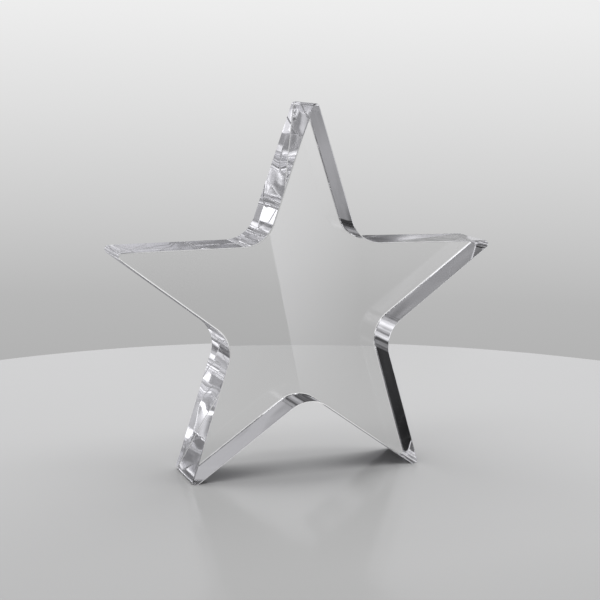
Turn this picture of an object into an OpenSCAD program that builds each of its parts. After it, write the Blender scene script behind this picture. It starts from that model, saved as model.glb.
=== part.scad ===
// Free-standing star award: one solid block of clear cast acrylic, with no separate base.
// The star faces -Y and stands on the tips of its two lower arms.
// Origin: on the resting surface, at the middle of the width and of the thickness. +Z is up.

/* [Star] */
// Overall width of the star, over the rounded tips of its two side arms
star_width = 127; // [90:1:180]
// Thickness of the block, from its front face to its back face
block_thickness = 19; // [12:0.5:32]
// Full angle at the tip of each arm (a pentagram has 36)
arm_angle = 37.5; // [34:0.5:50]

/* [Edges] */
// Radius on the tip of each arm
tip_radius = 1.3; // [0.8:0.1:3]
// Radius in each inner corner between two arms
valley_radius = 10.5; // [4:0.5:16]
// Depth of the polished 45 degree bevel round the edges of both faces
edge_bevel = 0.4; // [0.1:0.05:0.5]

/* [Feet] */
// Height ground off each of the two lower tips, so that it rests on a flat
foot_trim = 0.3; // [0.1:0.05:0.6]

/* [Colour] */
// Opacity of the clear acrylic in the preview
acrylic_opacity = 0.45; // [0.2:0.05:1]

/* [Hidden] */

arms = [0 : 4];
arm_step = 360 / 5;
half_arm = arm_angle / 2;
// Half the angle of the open notch between two arms
half_notch = half_arm + arm_step / 2;

// Distances from the star's centre, along the middle of an arm or of a notch
tip_centre = (star_width / 2 - tip_radius) / cos(arm_step / 4);
sharp_tip = tip_centre + tip_radius / sin(half_arm);
sharp_valley = sharp_tip * sin(half_arm) / sin(half_notch);
valley_centre = sharp_valley + valley_radius / sin(half_notch);

// Height of the star's centre once the feet are ground flat
centre_height = tip_centre * cos(arm_step / 2) + tip_radius - foot_trim;

// Straight side of an arm, between the ends of its two radii, with the arm pointing along +X
tip_tangent = [tip_centre + tip_radius * sin(half_arm), tip_radius * cos(half_arm)];
side_length = sharp_valley * sin(arm_step / 2) / sin(half_arm)
    - tip_radius / tan(half_arm) - valley_radius / tan(half_notch);
valley_tangent = tip_tangent + side_length * [-cos(half_arm), sin(half_arm)];

// How far a cutter runs past the surface that it cuts
overcut = 0.2;
// Round surfaces are larger by this, so that they cross the flat ones cleanly where they meet
seam_overlap = 0.002;
tip_round = tip_radius + seam_overlap;
valley_round = valley_radius + seam_overlap;
// Fineness of the round surfaces
arc_steps = 96;

function arm_direction(i) = 90 + i * arm_step;
function notch_direction(i) = 90 + (i + 0.5) * arm_step;
function mirrored(p) = [p.x, -p.y];
function turned(p, a) = [p.x * cos(a) - p.y * sin(a), p.x * sin(a) + p.y * cos(a)];
function arm_corners(i) = [
    for (p = [mirrored(valley_tangent), mirrored(tip_tangent), tip_tangent, valley_tangent])
        turned(p, arm_direction(i))
];

// Outline of the star about its centre, with every tip and inner corner rounded
module star_outline() {
    difference() {
        union() {
            polygon([for (i = arms) each arm_corners(i)]);
            for (i = arms)
                rotate(arm_direction(i)) translate([tip_centre, 0]) rotate(180)
                    circle(r = tip_round, $fn = arc_steps);
        }
        for (i = arms)
            rotate(notch_direction(i)) translate([valley_centre, 0])
                circle(r = valley_round, $fn = arc_steps);
    }
}

// Section of the bevel cut, with the sharp edge at the origin and the material at -X, -Y
module bevel_section() {
    polygon([
        [-edge_bevel - overcut, overcut],
        [overcut, -edge_bevel - overcut],
        [overcut, overcut]
    ]);
}

// Bevel cut along one straight side, from the inner corner's radius to just past the tip's
module side_bevel_cut() {
    translate(valley_tangent) rotate(-half_arm) rotate([90, 0, 90])
        linear_extrude(side_length + overcut) bevel_section();
}

// Bevel cut round the radius of one tip
module tip_bevel_cut() {
    translate([tip_centre, 0]) rotate(half_arm - 90)
        rotate_extrude(angle = 180 - arm_angle, $fn = arc_steps)
            translate([tip_round, 0]) bevel_section();
}

// Bevel cut round the radius of one inner corner
module valley_bevel_cut() {
    translate([valley_centre, 0, -edge_bevel - overcut])
        cylinder(
            h = edge_bevel + 2 * overcut,
            r1 = valley_round - overcut,
            r2 = valley_round + edge_bevel + overcut,
            $fn = arc_steps
        );
}

// Bevel cuts round one whole face, which lies at the height of the origin
module face_bevel_cut() {
    for (i = arms) {
        rotate(arm_direction(i)) {
            side_bevel_cut();
            mirror([0, 1, 0]) side_bevel_cut();
            tip_bevel_cut();
        }
        rotate(notch_direction(i)) valley_bevel_cut();
    }
}

module star_block() {
    color("white", acrylic_opacity) difference() {
        translate([0, 0, centre_height]) rotate([90, 0, 0]) difference() {
            linear_extrude(block_thickness, center = true) star_outline();
            translate([0, 0, block_thickness / 2]) face_bevel_cut();
            mirror([0, 0, 1]) translate([0, 0, block_thickness / 2]) face_bevel_cut();
        }
        translate([-star_width / 2, -block_thickness / 2 - overcut, -2 * foot_trim])
            cube([star_width, block_thickness + 2 * overcut, 2 * foot_trim]);
    }
}

star_block();
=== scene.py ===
"""Looks of a clear acrylic star award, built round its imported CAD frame.

Metres, +Z up. The star stands on z = 0 and faces -Y.
"""
import math

import bmesh
import bpy
from mathutils import Matrix, Vector


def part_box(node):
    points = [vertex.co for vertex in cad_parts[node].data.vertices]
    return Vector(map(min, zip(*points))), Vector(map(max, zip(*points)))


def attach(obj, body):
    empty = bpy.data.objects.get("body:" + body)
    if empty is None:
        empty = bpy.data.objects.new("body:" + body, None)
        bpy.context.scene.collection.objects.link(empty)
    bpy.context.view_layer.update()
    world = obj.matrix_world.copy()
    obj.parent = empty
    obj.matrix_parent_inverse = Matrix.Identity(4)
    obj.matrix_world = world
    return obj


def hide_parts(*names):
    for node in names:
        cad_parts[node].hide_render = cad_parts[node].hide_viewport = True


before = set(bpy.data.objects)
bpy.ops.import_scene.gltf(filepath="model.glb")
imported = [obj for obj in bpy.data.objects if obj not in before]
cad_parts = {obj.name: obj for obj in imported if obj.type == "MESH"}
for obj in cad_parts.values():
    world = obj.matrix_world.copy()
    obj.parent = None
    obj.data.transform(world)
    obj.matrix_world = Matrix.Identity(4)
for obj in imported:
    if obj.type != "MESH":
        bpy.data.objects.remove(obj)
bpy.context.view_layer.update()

NODE = "star_block"
MM = 0.001

# The star's outline. Its width, top and thickness come from the frame.
# The rest repeats the CAD model's sizes.
ARMS = 5
ARM_STEP = math.tau / ARMS
ARM_ANGLE = math.radians(37.5)
HALF_ARM = ARM_ANGLE / 2
TIP_RADIUS = 1.3 * MM
VALLEY_RADIUS = 10.5 * MM
EDGE_BEVEL = 0.4 * MM

# Steps in each round stretch
TIP_STEPS = 20
VALLEY_STEPS = 28
BEVEL_STEPS = 4

# The mesh: corners sharper than this stay sharp, and the feet are cut flat to this tolerance
SHARP_CORNER = math.radians(32)
CUT_TOLERANCE = 1e-7
FLAT_FACE_WEIGHT = 100

# Material slot of the star's edges. Its two flat faces keep slot 0.
EDGE_SLOT = 1

# Clear cast acrylic, and the share of lamp light and scattered light that its faces pass on
ACRYLIC_IOR = 1.49
LIGHT_THROUGH_FACES = 0.985

# Noise drawn out along the edge for the lines, and across its thickness for the streaks in the polish
LINE_STRETCH = (0.06, 1.0, 0.06)
LINE_SCALE = 220.0
STREAK_STRETCH = (1.0, 0.08, 1.0)
STREAK_SCALE = 900.0

# Roughness goes from this share of the roughest up to the roughest, over this span of the streaks' noise
FINEST_SHARE = 0.2
FINEST_AT = 0.35
ROUGHEST_AT = 0.7

# The round board that the star stands on, and the direction of its back as the camera stands to it.
# Its colour is painted lighter that way: painted light falloff, darker towards the front and lighter at the
# back.
FLOOR_RADIUS = 0.252
FLOOR_CENTRE = (0, -0.0545, 0)
FLOOR_SEGMENTS = 256
FLOOR_BACK_X = 0.37
FLOOR_BACK_Y = 0.93
FLOOR_PAINTED_FALLOFF_SCALE = 2.0
FLOOR_PAINTED_FALLOFF = [(0.2, 0.355), (0.5, 0.43), (0.72, 0.447), (0.9, 0.455)]
FLOOR_ROUGHNESS = 0.15
FLOOR_SPECULAR = 0.2

# Backdrop: (degrees above level, brightness)
BACKDROP = [(-13, 0.44), (-10, 0.48), (-6.5, 0.60), (-2, 0.74), (2, 0.85), (12, 0.93)]

# Soft boxes and dark flags round the star's axis, seen only by light that has been mirrored:
# (from, to, brightness), in degrees from +X over the top
BEHIND = [
    (0, 55, 0.1), (55, 125, 0.28), (125, 195, 0.6), (195, 235, 0.25), (235, 265, 0.02), (265, 325, 0.2),
    (325, 360, 0.35),
]
BEHIND_NEAR_AXIS = [
    (0, 15, 0.1), (15, 45, 0.45), (45, 60, 0.15), (60, 120, 0.28), (120, 150, 0.9), (150, 195, 1.4),
    (195, 240, 0.2), (240, 275, 1.1), (275, 335, 0.2), (335, 360, 0.5),
]
IN_FRONT = [
    (0, 60, 0.5), (60, 85, 0.15), (85, 105, 1.1), (105, 120, 0.15), (120, 150, 1.3), (150, 165, 0.4),
    (165, 215, 0.05), (215, 235, 0.6), (235, 255, 0.15), (255, 300, 0.95), (300, 350, 0.03), (350, 360, 0.6),
]
PANEL_EDGE = 6

# How closely a direction follows the star's axis, as |y| of its unit vector: (closeness, share)
NEAR_AXIS = [(0.918, 0), (0.93, 1)]
ON_AXIS = [(0.955, 0), (0.975, 1)]

# The panels' brightness varies by these factors, in soft patches
PATCH_SCALE = 8.0
PATCHES = [(0.32, 0.3), (0.68, 1.7)]

# Soft box mirrored in the front face, laid out on a plane one unit in front of the star: where its sharp
# edge crosses level and how far that leans with height, where it fades out, and its brightness downwards,
# as (share of the drop, brightness)
SOFTBOX_EDGE = 0.3395
SOFTBOX_LEAN = -0.22
SOFTBOX_FADE_FROM = 0.36
SOFTBOX_FADE_WIDTH = 0.09
SOFTBOX_DROP = 0.3
SOFTBOX_PROFILE = [(0, 0), (0.25, 0.2), (0.6, 1), (0.78, 0.55), (0.9, 0.2), (1, 0.1)]
SOFTBOX_BRIGHTNESS = 2.4
SOFTBOX_SHARE = 0.9

# Even tone that takes the panels' place, and the low dark flag that it leaves alone,
# behind the star and to its right
EVEN_TONE = 0.65
LOW_FLAG_TOP = 0.17
LOW_FLAG_Y = 0.87
LOW_FLAG_X = 0.1

# Light turns to an even grey between these counts of mirrorings, on a ramp this many long
WORN_FROM = 8
WORN_BY = 16
WORN_RAMP = 20
WORN_GREY = (0.5, 0.5, 0.52, 1)

STUDIO_TINT = (0.99, 0.985, 1.03, 1)

# Light from all round that the lamp is added to
FLAT_FILL = 0.22

LAMP_WIDTH = 1.6
LAMP_DEPTH = 1.4
LAMP_WATTS = 18.5
LAMP_PLACE = (0.05, 0.2, 0.9)

# Camera at the photograph's viewing angle, fitted to the star's outline
CAMERA_PLACE = (-0.1623, -0.40816, 0.1349)
CAMERA_YAW = math.radians(-21.623)
CAMERA_PITCH = math.radians(-10.134)
CAMERA_ROLL = math.radians(1.102)
CAMERA_LENS = 81.64
CAMERA_SENSOR = 36
CAMERA_NEAR = 0.01

# A wall of the block mirrors light many times before it gets out
MOST_BOUNCES = 40


# ---------------------------------------------------------------- small helpers

def direction(angle):
    """Unit vector in the plane of the star's face, as (x, z)."""
    return Vector((math.cos(angle), math.sin(angle)))


def lerp(a, b, t):
    return a + (b - a) * t


def grey(brightness):
    return (brightness, brightness, brightness, 1)


class NodeGraph:
    """Short names for adding and linking shader nodes."""

    def __init__(self, tree):
        self.tree = tree
        self.tree.nodes.clear()

    def add(self, kind, inputs=None, **settings):
        node = self.tree.nodes.new(kind)
        for name, value in settings.items():
            setattr(node, name, value)
        for key, value in (inputs or {}).items():
            self.feed(node.inputs[key], value)
        return node

    def feed(self, socket, value):
        if isinstance(value, bpy.types.NodeSocket):
            self.tree.links.new(value, socket)
        else:
            socket.default_value = value

    def math(self, operation, *values):
        node = self.add("ShaderNodeMath", operation=operation)
        for socket, value in zip(node.inputs, values):
            self.feed(socket, value)
        return node.outputs[0]

    def ramp(self, factor, stops, interpolation="LINEAR"):
        """Brightness by factor, from (position, brightness) stops."""
        node = self.add("ShaderNodeValToRGB", {0: factor})
        node.color_ramp.interpolation = interpolation
        elements = node.color_ramp.elements
        while len(elements) < len(stops):
            elements.new(0.5)
        for element, (position, brightness) in zip(elements, stops):
            element.position = position
            element.color = grey(brightness)
        return node.outputs[0]

    def mix(self, factor, a, b, blend="MIX"):
        # inputs 6 and 7 of a Mix node are its two colours
        node = self.add("ShaderNodeMix", {0: factor, 6: a, 7: b}, data_type="RGBA", blend_type=blend)
        return node.outputs[2]


def material_graph(name):
    material = bpy.data.materials.new(name)
    material.use_nodes = True
    return material, NodeGraph(material.node_tree)


# ---------------------------------------------------------------- the star's mesh

def star_frame():
    """Centre height and the distances of the tips' and valleys' arc centres from the star's centre."""
    low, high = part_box(NODE)
    # the side arms rise a quarter of a step above level
    tip_centre = ((high.x - low.x) / 2 - TIP_RADIUS) / math.cos(ARM_STEP / 4)
    half_notch = HALF_ARM + ARM_STEP / 2
    sharp_tip = tip_centre + TIP_RADIUS / math.sin(HALF_ARM)
    sharp_valley = sharp_tip * math.sin(HALF_ARM) / math.sin(half_notch)
    valley_centre = sharp_valley + VALLEY_RADIUS / math.sin(half_notch)
    centre_z = high.z - tip_centre - TIP_RADIUS
    return centre_z, tip_centre, valley_centre


def star_ring(inset):
    """The star's outline drawn in by inset, anticlockwise as seen from the front, as (x, z) points."""
    centre_z, tip_centre, valley_centre = star_frame()
    centre = Vector((0, centre_z))
    side = math.pi / 2 - HALF_ARM
    points = []
    for arm in range(ARMS):
        along = math.pi / 2 + arm * ARM_STEP
        for step in range(TIP_STEPS + 1):
            out = direction(lerp(along - side, along + side, step / TIP_STEPS))
            points.append(centre + direction(along) * tip_centre + out * (TIP_RADIUS - inset))
        notch = along + ARM_STEP / 2
        for step in range(VALLEY_STEPS + 1):
            out = direction(lerp(along + side, along + ARM_STEP - side, step / VALLEY_STEPS))
            points.append(centre + direction(notch) * valley_centre - out * (VALLEY_RADIUS + inset))
    return points


def star_layers():
    """(inset, y) of each ring of points, from front face to back face, with a rounded arris at both."""
    low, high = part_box(NODE)
    half = (high.y - low.y) / 2
    front = []
    for step in range(BEVEL_STEPS + 1):
        turn = math.pi / 2 * step / BEVEL_STEPS
        inset = EDGE_BEVEL * (1 - math.sin(turn))
        depth = EDGE_BEVEL * (1 - math.cos(turn))
        front.append((inset, -half + depth))
    return front + [(inset, -y) for inset, y in reversed(front)]


def cut_feet_flat(bm):
    """Cut off what reaches below z = 0 and close the two feet."""
    cut = bmesh.ops.bisect_plane(
        bm, geom=bm.verts[:] + bm.edges[:] + bm.faces[:], dist=CUT_TOLERANCE,
        plane_co=(0, 0, 0), plane_no=(0, 0, -1), clear_outer=True,
    )
    rim = [e for e in cut["geom_cut"] if isinstance(e, bmesh.types.BMEdge)]
    for foot in bmesh.ops.holes_fill(bm, edges=rim)["faces"]:
        foot.material_index = EDGE_SLOT


def star_mesh():
    bm = bmesh.new()
    rings = []
    for inset, y in star_layers():
        rings.append([bm.verts.new((x, y, z)) for x, z in star_ring(inset)])
    for near, far in zip(rings, rings[1:]):
        for i in range(len(near)):
            j = (i + 1) % len(near)
            bm.faces.new((near[i], far[i], far[j], near[j])).material_index = EDGE_SLOT
    bm.faces.new(rings[0])
    bm.faces.new(reversed(rings[-1]))
    cut_feet_flat(bm)
    bmesh.ops.recalc_face_normals(bm, faces=bm.faces[:])
    mesh = bpy.data.meshes.new("star_acrylic")
    bm.to_mesh(mesh)
    bm.free()
    mesh.shade_smooth()
    mesh.set_sharp_from_angle(angle=SHARP_CORNER)
    return mesh


def build_star():
    mesh = star_mesh()
    mesh.materials.append(acrylic(
        "acrylic_face", wave_length=40 * MM, wave_height=0.002 * MM, line_share=0.0, roughest=0.01,
        lets_light_through=True,
    ))
    mesh.materials.append(acrylic(
        "acrylic_edge", wave_length=22 * MM, wave_height=0.25 * MM, line_share=0.015, roughest=0.05,
        lets_light_through=False,
    ))
    star = bpy.data.objects.new("star_acrylic", mesh)
    bpy.context.scene.collection.objects.link(star)
    weighted = star.modifiers.new("flat_faces_stay_flat", "WEIGHTED_NORMAL")
    weighted.keep_sharp = True
    weighted.weight = FLAT_FACE_WEIGHT
    return star


# ---------------------------------------------------------------- materials

def acrylic(name, wave_length, wave_height, line_share, roughest, lets_light_through):
    """Clear cast acrylic: a gentle swell, faint lines along the edge and an uneven polish.

    With lets_light_through set, lamp light and scattered light pass straight on to the floor.
    """
    material, g = material_graph(name)
    place = g.add("ShaderNodeTexCoord").outputs["Object"]
    swell = g.add("ShaderNodeTexNoise", {"Vector": place, "Scale": 1 / wave_length, "Detail": 1.0})
    drawn = g.add("ShaderNodeMapping", {"Vector": place, "Scale": LINE_STRETCH})
    lines = g.add("ShaderNodeTexNoise", {"Vector": drawn.outputs[0], "Scale": LINE_SCALE, "Detail": 1.0})
    height = g.math("MULTIPLY_ADD", lines.outputs[0], line_share, swell.outputs[0])
    bump = g.add("ShaderNodeBump", {"Distance": wave_height, "Height": height})
    across = g.add("ShaderNodeMapping", {"Vector": place, "Scale": STREAK_STRETCH})
    streaks = g.add("ShaderNodeTexNoise", {"Vector": across.outputs[0], "Scale": STREAK_SCALE, "Detail": 2.0})
    polish = g.ramp(streaks.outputs[0], [(FINEST_AT, FINEST_SHARE * roughest), (ROUGHEST_AT, roughest)])
    surface = g.add("ShaderNodeBsdfPrincipled", {
        "Base Color": grey(1),
        "Roughness": polish,
        "IOR": ACRYLIC_IOR,
        "Transmission Weight": 1.0,
        "Normal": bump.outputs[0],
    }).outputs[0]
    if lets_light_through:
        path = g.add("ShaderNodeLightPath").outputs
        scattered = g.math("GREATER_THAN", path["Diffuse Depth"], 0.5)
        passes = g.math("MAXIMUM", scattered, path["Is Shadow Ray"])
        clear = g.add("ShaderNodeBsdfTransparent", {0: grey(LIGHT_THROUGH_FACES)})
        surface = g.add("ShaderNodeMixShader", {0: passes, 1: surface, 2: clear.outputs[0]}).outputs[0]
    g.add("ShaderNodeOutputMaterial", {"Surface": surface})
    return material


def floor_material():
    """A satin board with painted light falloff: its colour is lighter from front to back. Light that has been
    mirrored passes through it.
    """
    material, g = material_graph("pale_floor")
    coord = g.add("ShaderNodeTexCoord")
    x, y, _ = g.add("ShaderNodeSeparateXYZ", {0: coord.outputs["Object"]}).outputs
    depth = g.math("ADD", g.math("MULTIPLY", x, FLOOR_BACK_X), g.math("MULTIPLY", y, FLOOR_BACK_Y))
    # painted light: the base colour is lighter towards the back of the board, standing in for lamp falloff
    painted_falloff = g.ramp(g.math("MULTIPLY_ADD", depth, FLOOR_PAINTED_FALLOFF_SCALE, 0.5), FLOOR_PAINTED_FALLOFF)
    path = g.add("ShaderNodeLightPath").outputs
    not_mirrored = g.math("LESS_THAN", path["Glossy Depth"], 0.5)
    board = g.add("ShaderNodeBsdfPrincipled", {
        "Base Color": painted_falloff,
        "Roughness": FLOOR_ROUGHNESS,
        "Specular IOR Level": FLOOR_SPECULAR,
    })
    clear = g.add("ShaderNodeBsdfTransparent")
    mix = g.add("ShaderNodeMixShader", {0: not_mirrored, 1: clear.outputs[0], 2: board.outputs[0]})
    g.add("ShaderNodeOutputMaterial", {"Surface": mix.outputs[0]})
    return material


# ---------------------------------------------------------------- floor

def build_floor():
    bm = bmesh.new()
    bmesh.ops.create_circle(
        bm, cap_ends=True, radius=FLOOR_RADIUS, segments=FLOOR_SEGMENTS,
        matrix=Matrix.Translation(FLOOR_CENTRE),
    )
    mesh = bpy.data.meshes.new("floor")
    bm.to_mesh(mesh)
    bm.free()
    mesh.materials.append(floor_material())
    floor = bpy.data.objects.new("floor", mesh)
    bpy.context.scene.collection.objects.link(floor)


# ---------------------------------------------------------------- the studio round the star

class Ray:
    """Where a ray that reaches the world is heading, and what it has met on its way."""

    def __init__(self, g):
        self.heading = g.add("ShaderNodeTexCoord").outputs["Generated"]
        self.x, self.y, self.z = g.add("ShaderNodeSeparateXYZ", {0: self.heading}).outputs
        self.along_axis = g.math("ABSOLUTE", self.y)
        self.path = g.add("ShaderNodeLightPath").outputs


def backdrop(g, ray):
    """Plain background, brighter with height."""
    height = g.math("MULTIPLY_ADD", ray.z, 0.5, 0.5)
    stops = [(math.sin(math.radians(degrees)) / 2 + 0.5, brightness) for degrees, brightness in BACKDROP]
    return g.ramp(height, stops)


def ring_stops(panels):
    """Ramp stops once round the axis, each panel fading into the next over PANEL_EDGE degrees."""
    stops = []
    for start, end, brightness in panels:
        stops.append(((start + PANEL_EDGE / 2) / 360, brightness))
        stops.append(((end - PANEL_EDGE / 2) / 360, brightness))
    return stops


def panels_round_axis(g, ray):
    """The panels in front of the star and behind it, where a second ring lies nearer the axis."""
    around = g.add("ShaderNodeCombineXYZ", {0: ray.x, 1: ray.z, 2: ray.y})
    radial = g.add("ShaderNodeTexGradient", {0: around.outputs[0]}, gradient_type="RADIAL")
    # the gradient is 0.5 at angle 0 and wraps at 180 degrees
    angle = g.math("FRACT", g.math("ADD", radial.outputs["Fac"], 0.5))
    is_near = g.ramp(ray.along_axis, NEAR_AXIS)
    behind = g.mix(is_near, g.ramp(angle, ring_stops(BEHIND)), g.ramp(angle, ring_stops(BEHIND_NEAR_AXIS)))
    is_behind = g.math("GREATER_THAN", ray.y, 0.0)
    panels = g.mix(is_behind, g.ramp(angle, ring_stops(IN_FRONT)), behind)
    noise = g.add("ShaderNodeTexNoise", {"Vector": ray.heading, "Scale": PATCH_SCALE, "Detail": 1.0})
    return g.mix(1.0, panels, g.ramp(noise.outputs[0], PATCHES), "MULTIPLY")


def with_front_softbox(g, ray, studio):
    """Add the soft box mirrored in the front face: a slanting sharp edge, fading out to the right of it."""
    forward = g.math("MULTIPLY", ray.y, -1.0)
    across = g.math("DIVIDE", ray.x, forward)
    up = g.math("DIVIDE", ray.z, forward)
    past_edge = g.math("SUBTRACT", across, g.math("MULTIPLY_ADD", up, SOFTBOX_LEAN, SOFTBOX_EDGE))
    inside = g.math("MULTIPLY", g.math("GREATER_THAN", past_edge, 0.0), g.math("LESS_THAN", ray.y, 0.0))
    across_fade = g.math(
        "MULTIPLY_ADD", across, 1 / SOFTBOX_FADE_WIDTH, -SOFTBOX_FADE_FROM / SOFTBOX_FADE_WIDTH,
    )
    fade = g.ramp(across_fade, [(0, 1), (1, 0)])
    below_level = g.math("MULTIPLY_ADD", up, -1 / SOFTBOX_DROP, 0)
    profile = g.ramp(below_level, SOFTBOX_PROFILE, "B_SPLINE")
    shape = g.math("MULTIPLY", fade, profile)
    glow = g.math("MULTIPLY", shape, g.math("MULTIPLY", inside, SOFTBOX_BRIGHTNESS))
    return g.mix(g.math("MULTIPLY", inside, SOFTBOX_SHARE), studio, glow)


def evened_out(g, ray, studio):
    """Put an even tone where the panels would show as a fan in the front face or as blotches on the floor.

    That is straight along the axis, and upwards after one mirroring, except in the low dark flag.
    """
    on_axis = g.ramp(ray.along_axis, ON_AXIS)
    met = g.math("ADD", ray.path["Glossy Depth"], ray.path["Transmission Depth"])
    mirrored_up = g.math("MULTIPLY", g.math("LESS_THAN", met, 1.5), g.math("GREATER_THAN", ray.z, 0.0))
    is_low = g.math("LESS_THAN", ray.z, LOW_FLAG_TOP)
    is_behind = g.math("GREATER_THAN", ray.y, LOW_FLAG_Y)
    is_right = g.math("GREATER_THAN", ray.x, LOW_FLAG_X)
    low_flag = g.math("MULTIPLY", is_low, g.math("MULTIPLY", is_behind, is_right))
    mirrored_up = g.math("MULTIPLY", mirrored_up, g.math("SUBTRACT", 1.0, low_flag))
    return g.mix(g.math("MAXIMUM", on_axis, mirrored_up), studio, grey(EVEN_TONE))


def worn_out(g, ray, studio):
    """Light that has been mirrored many times in the block is an even grey."""
    count = g.math("MULTIPLY", ray.path["Glossy Depth"], 1 / WORN_RAMP)
    worn = g.ramp(count, [(WORN_FROM / WORN_RAMP, 0), (WORN_BY / WORN_RAMP, 1)])
    return g.mix(worn, studio, WORN_GREY)


def build_world():
    """Backdrop for what is seen directly or through the block, studio for what is mirrored, flat fill."""
    world = bpy.data.worlds.new("studio")
    bpy.context.scene.world = world
    world.use_nodes = True
    g = NodeGraph(world.node_tree)
    ray = Ray(g)
    studio = with_front_softbox(g, ray, panels_round_axis(g, ray))
    studio = worn_out(g, ray, evened_out(g, ray, studio))
    studio = g.mix(1.0, studio, STUDIO_TINT, "MULTIPLY")
    seen = g.math("MAXIMUM", ray.path["Is Camera Ray"], ray.path["Is Transmission Ray"])
    mirrored = g.math("GREATER_THAN", ray.path["Glossy Depth"], 0.5)
    scattered = g.math("GREATER_THAN", ray.path["Diffuse Depth"], 0.5)
    colour = g.mix(seen, grey(FLAT_FILL), backdrop(g, ray))
    colour = g.mix(mirrored, colour, studio)
    colour = g.mix(scattered, colour, grey(FLAT_FILL))
    background = g.add("ShaderNodeBackground", {"Color": colour, "Strength": 1.0})
    g.add("ShaderNodeOutputWorld", {"Surface": background.outputs[0]})


# ---------------------------------------------------------------- lamp and camera

def build_lamp():
    """A wide soft box overhead, which lights the floor but isn't seen itself."""
    data = bpy.data.lights.new("overhead_softbox", "AREA")
    data.shape = "RECTANGLE"
    data.size = LAMP_WIDTH
    data.size_y = LAMP_DEPTH
    data.energy = LAMP_WATTS
    lamp = bpy.data.objects.new("overhead_softbox", data)
    lamp.location = LAMP_PLACE
    lamp.visible_camera = False
    lamp.visible_glossy = False
    lamp.visible_transmission = False
    bpy.context.scene.collection.objects.link(lamp)


def build_camera():
    data = bpy.data.cameras.new("camera")
    data.sensor_width = CAMERA_SENSOR
    data.lens = CAMERA_LENS
    data.clip_start = CAMERA_NEAR
    camera = bpy.data.objects.new("camera", data)
    camera.location = CAMERA_PLACE
    turn = Matrix.Rotation(CAMERA_YAW, 3, "Z")
    turn @= Matrix.Rotation(math.pi / 2 + CAMERA_PITCH, 3, "X")
    turn @= Matrix.Rotation(CAMERA_ROLL, 3, "Z")
    camera.rotation_euler = turn.to_euler()
    bpy.context.scene.collection.objects.link(camera)
    bpy.context.scene.camera = camera


build_camera()
star = build_star()
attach(star, "root")
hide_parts(NODE)
build_floor()
build_world()
build_lamp()

scene = bpy.context.scene
scene.view_settings.view_transform = "Standard"
scene.cycles.max_bounces = MOST_BOUNCES
scene.cycles.glossy_bounces = MOST_BOUNCES
scene.cycles.transmission_bounces = MOST_BOUNCES
scene.cycles.caustics_refractive = False
scene.cycles.caustics_reflective = False
